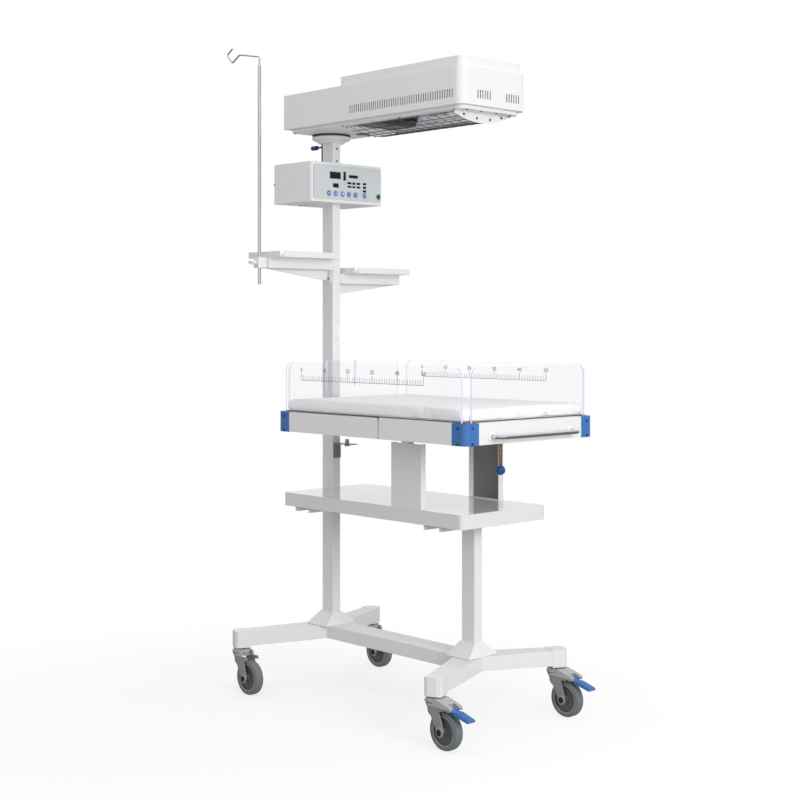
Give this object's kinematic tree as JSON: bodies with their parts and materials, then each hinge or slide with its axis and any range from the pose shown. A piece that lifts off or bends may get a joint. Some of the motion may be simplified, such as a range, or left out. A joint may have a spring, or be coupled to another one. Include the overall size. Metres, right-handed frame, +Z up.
{
  "type": "infant radiant warmer",
  "caption": "Column-mounted infant warmer with a swivelling overhead heater, a tilting cot with clear guards, a shelf, trays, an infusion pole and braked casters.",
  "frame": {"origin": "on the floor midway between the two columns", "axes": "+X from the rear column at the head end towards the foot end, -Y to the drawer side, +Z up"},
  "size_m": [1.0108, 0.5954, 1.9156],
  "materials": {
    "white_paint": "powder coated, satin",
    "shelf_paint": "stove enamelled, glossy",
    "cream_plastic": "moulded, satin",
    "white_plastic": "moulded, satin",
    "panel_film": "printed overlay, satin",
    "key_blue": "moulded, satin",
    "black_plastic": "moulded, matte",
    "zinc_steel": "yellow zinc plated",
    "black_steel": "black lacquer",
    "reflector_sheet": "bright rolled",
    "quartz": "fused quartz",
    "bright_wire": "bright plated",
    "blue_plastic": "moulded, satin",
    "dark_blue_plastic": "moulded, satin",
    "brown_laminate": "phenolic laminate",
    "mattress_cover": "coated cloth",
    "chrome_bar": "polished plate",
    "clear_acrylic": "clear cast sheet",
    "caster_grey": "moulded, matte",
    "caster_tyre": "grey thermoplastic rubber"
  },
  "bodies": {
    "stand": {"base_frame": "white_paint", "base_covers": "cream_plastic", "rear_column_lower": "white_paint", "rear_column_upper": "white_paint", "column_bolts": "white_plastic", "front_column": "white_paint", "shelf": "shelf_paint", "bed_uprights": "white_paint", "control_box": "white_paint", "control_panel": "panel_film", "instrument_trays": "white_paint", "tray_brackets": "white_paint", "pole_clamp": "white_paint", "swivel_ring": "cream_plastic", "hood_cable": "black_plastic", "bed_stop": "zinc_steel", "gas_spring_cylinder": "black_steel"},
    "hood": {"swivel_flange": "white_paint", "hood_shell": "white_paint", "hood_lid": "white_paint", "hood_pan": "white_paint", "reflector": "reflector_sheet", "heater_tube": "quartz", "exam_lamp": "white_plastic", "wire_guard": "bright_wire"},
    "bed": {"corner_blocks": "blue_plastic", "bed_rails": "white_paint", "bed_board": "brown_laminate", "mattress": "mattress_cover", "bed_subframe": "white_paint", "foot_handle": "chrome_bar"},
    "drawer": {"cassette_drawer": "white_paint"},
    "lever": {"tilt_lever": "zinc_steel"},
    "release": {"release_rod": "zinc_steel"},
    "spring_rod": {"gas_spring_rod": "chrome_bar"},
    "pole": {"pole_tube": "chrome_bar"},
    "hook": {"pole_hook": "chrome_bar"},
    "pole_knob": {"clamp_knob": "white_plastic"},
    "lock_knob": {"swivel_lock_knob": "dark_blue_plastic"},
    "switch_rocker": {"power_switch": "black_plastic"},
    "caster_front_near": {"caster_fork_front_near": "caster_grey"},
    "wheel_front_near": {"caster_wheel_front_near": "caster_tyre"},
    "caster_front_far": {"caster_fork_front_far": "caster_grey"},
    "wheel_front_far": {"caster_wheel_front_far": "caster_tyre"},
    "caster_rear_near": {"caster_fork_rear_near": "caster_grey"},
    "wheel_rear_near": {"caster_wheel_rear_near": "caster_tyre"},
    "caster_rear_far": {"caster_fork_rear_far": "caster_grey"},
    "wheel_rear_far": {"caster_wheel_rear_far": "caster_tyre"},
    "pedal_front_near": {"brake_pedal_front_near": "blue_plastic"},
    "pedal_front_far": {"brake_pedal_front_far": "blue_plastic"},
    "near_guard": {"guard_near": "clear_acrylic"},
    "far_guard": {"guard_far": "clear_acrylic"},
    "head_guard": {"guard_head": "clear_acrylic"},
    "foot_guard": {"guard_foot": "clear_acrylic"},
    "key_1": {"function_key_1": "key_blue"},
    "key_2": {"function_key_2": "key_blue"},
    "key_3": {"function_key_3": "key_blue"},
    "key_4": {"function_key_4": "key_blue"},
    "key_5": {"function_key_5": "key_blue"},
    "key_6": {"function_key_6": "key_blue"}
  },
  "joints": [
    {"name": "hood_swivel", "type": "hinge", "parent": "stand", "child": "hood", "pos_m": [-0.297, 0, 1.652], "axis": [0, 0, 1], "range_deg": [-55, 90]},
    {"name": "bed_tilt", "type": "hinge", "parent": "stand", "child": "bed", "pos_m": [0.203, 0, 0.778], "axis": [0, 1, 0], "range_deg": [-4.5, 10]},
    {"name": "spring_extension", "type": "slide", "parent": "stand", "child": "spring_rod", "axis": [0, 0, 1], "range_m": [-0.012, 0.0255]},
    {"name": "drawer_slide", "type": "slide", "parent": "bed", "child": "drawer", "axis": [0, -1, 0], "range_m": [0, 0.35]},
    {"name": "lever_pull", "type": "hinge", "parent": "bed", "child": "lever", "pos_m": [0.423, -0.02, 0.812], "axis": [0, -1, 0], "range_deg": [0, 15], "stiffness_Nm_per_rad": 0.5, "springref_deg": -5.73},
    {"name": "release_travel", "type": "slide", "parent": "bed", "child": "release", "axis": [1, 0, 0], "range_m": [0, 0.0095]},
    {"name": "pole_height", "type": "slide", "parent": "stand", "child": "pole", "axis": [0, 0, 1], "range_m": [-0.4, 0.04]},
    {"name": "hook_turn", "type": "hinge", "parent": "pole", "child": "hook", "pos_m": [-0.297, -0.275, 1.83], "axis": [0, 0, 1], "continuous": true},
    {"name": "clamp_knob_turn", "type": "hinge", "parent": "stand", "child": "pole_knob", "pos_m": [-0.297, -0.295, 1.27275], "axis": [0, -1, 0], "range_deg": [0, 180]},
    {"name": "lock_knob_turn", "type": "hinge", "parent": "stand", "child": "lock_knob", "pos_m": [-0.375, 0, 1.635], "axis": [-1, 0, 0], "range_deg": [0, 180]},
    {"name": "power_rocker", "type": "hinge", "parent": "stand", "child": "switch_rocker", "pos_m": [-0.399, 0.1, 1.5025], "axis": [0, 1, 0], "range_deg": [-7, 7]},
    {"name": "caster_swivel_front_near", "type": "hinge", "parent": "stand", "child": "caster_front_near", "pos_m": [0.396, -0.238, 0.13], "axis": [0, 0, 1], "continuous": true},
    {"name": "wheel_spin_front_near", "type": "hinge", "parent": "caster_front_near", "child": "wheel_front_near", "pos_m": [0.436, -0.238, 0.05], "axis": [0, 1, 0], "continuous": true},
    {"name": "caster_swivel_front_far", "type": "hinge", "parent": "stand", "child": "caster_front_far", "pos_m": [0.396, 0.238, 0.13], "axis": [0, 0, 1], "continuous": true},
    {"name": "wheel_spin_front_far", "type": "hinge", "parent": "caster_front_far", "child": "wheel_front_far", "pos_m": [0.436, 0.238, 0.05], "axis": [0, 1, 0], "continuous": true},
    {"name": "caster_swivel_rear_near", "type": "hinge", "parent": "stand", "child": "caster_rear_near", "pos_m": [-0.404, -0.258, 0.13], "axis": [0, 0, 1], "continuous": true},
    {"name": "wheel_spin_rear_near", "type": "hinge", "parent": "caster_rear_near", "child": "wheel_rear_near", "pos_m": [-0.364, -0.258, 0.05], "axis": [0, 1, 0], "continuous": true},
    {"name": "caster_swivel_rear_far", "type": "hinge", "parent": "stand", "child": "caster_rear_far", "pos_m": [-0.404, 0.258, 0.13], "axis": [0, 0, 1], "continuous": true},
    {"name": "wheel_spin_rear_far", "type": "hinge", "parent": "caster_rear_far", "child": "wheel_rear_far", "pos_m": [-0.364, 0.258, 0.05], "axis": [0, 1, 0], "continuous": true},
    {"name": "brake_front_near", "type": "hinge", "parent": "caster_front_near", "child": "pedal_front_near", "pos_m": [0.462, -0.238, 0.108], "axis": [0, 1, 0], "range_deg": [0, 12]},
    {"name": "brake_front_far", "type": "hinge", "parent": "caster_front_far", "child": "pedal_front_far", "pos_m": [0.462, 0.238, 0.108], "axis": [0, 1, 0], "range_deg": [0, 12]},
    {"name": "near_guard_lift", "type": "slide", "parent": "bed", "child": "near_guard", "axis": [0, 0, 1], "range_m": [0, 0.03]},
    {"name": "far_guard_lift", "type": "slide", "parent": "bed", "child": "far_guard", "axis": [0, 0, 1], "range_m": [0, 0.03]},
    {"name": "head_guard_lift", "type": "slide", "parent": "bed", "child": "head_guard", "axis": [0, 0, 1], "range_m": [0, 0.03]},
    {"name": "foot_guard_lift", "type": "slide", "parent": "bed", "child": "foot_guard", "axis": [0, 0, 1], "range_m": [0, 0.03]},
    {"name": "key_press_1", "type": "slide", "parent": "stand", "child": "key_1", "axis": [-1, 0, 0], "range_m": [0, 0.0012], "stiffness_N_per_m": 500, "springref_m": -0.001},
    {"name": "key_press_2", "type": "slide", "parent": "stand", "child": "key_2", "axis": [-1, 0, 0], "range_m": [0, 0.0012], "stiffness_N_per_m": 500, "springref_m": -0.001},
    {"name": "key_press_3", "type": "slide", "parent": "stand", "child": "key_3", "axis": [-1, 0, 0], "range_m": [0, 0.0012], "stiffness_N_per_m": 500, "springref_m": -0.001},
    {"name": "key_press_4", "type": "slide", "parent": "stand", "child": "key_4", "axis": [-1, 0, 0], "range_m": [0, 0.0012], "stiffness_N_per_m": 500, "springref_m": -0.001},
    {"name": "key_press_5", "type": "slide", "parent": "stand", "child": "key_5", "axis": [-1, 0, 0], "range_m": [0, 0.0012], "stiffness_N_per_m": 500, "springref_m": -0.001},
    {"name": "key_press_6", "type": "slide", "parent": "stand", "child": "key_6", "axis": [-1, 0, 0], "range_m": [0, 0.0012], "stiffness_N_per_m": 500, "springref_m": -0.001}
  ],
  "couplings": [
    {"joint": "release_travel", "follows": "lever_pull", "m_per_rad": 0.033},
    {"joint": "spring_extension", "follows": "bed_tilt", "m_per_rad": 0.143}
  ]
}
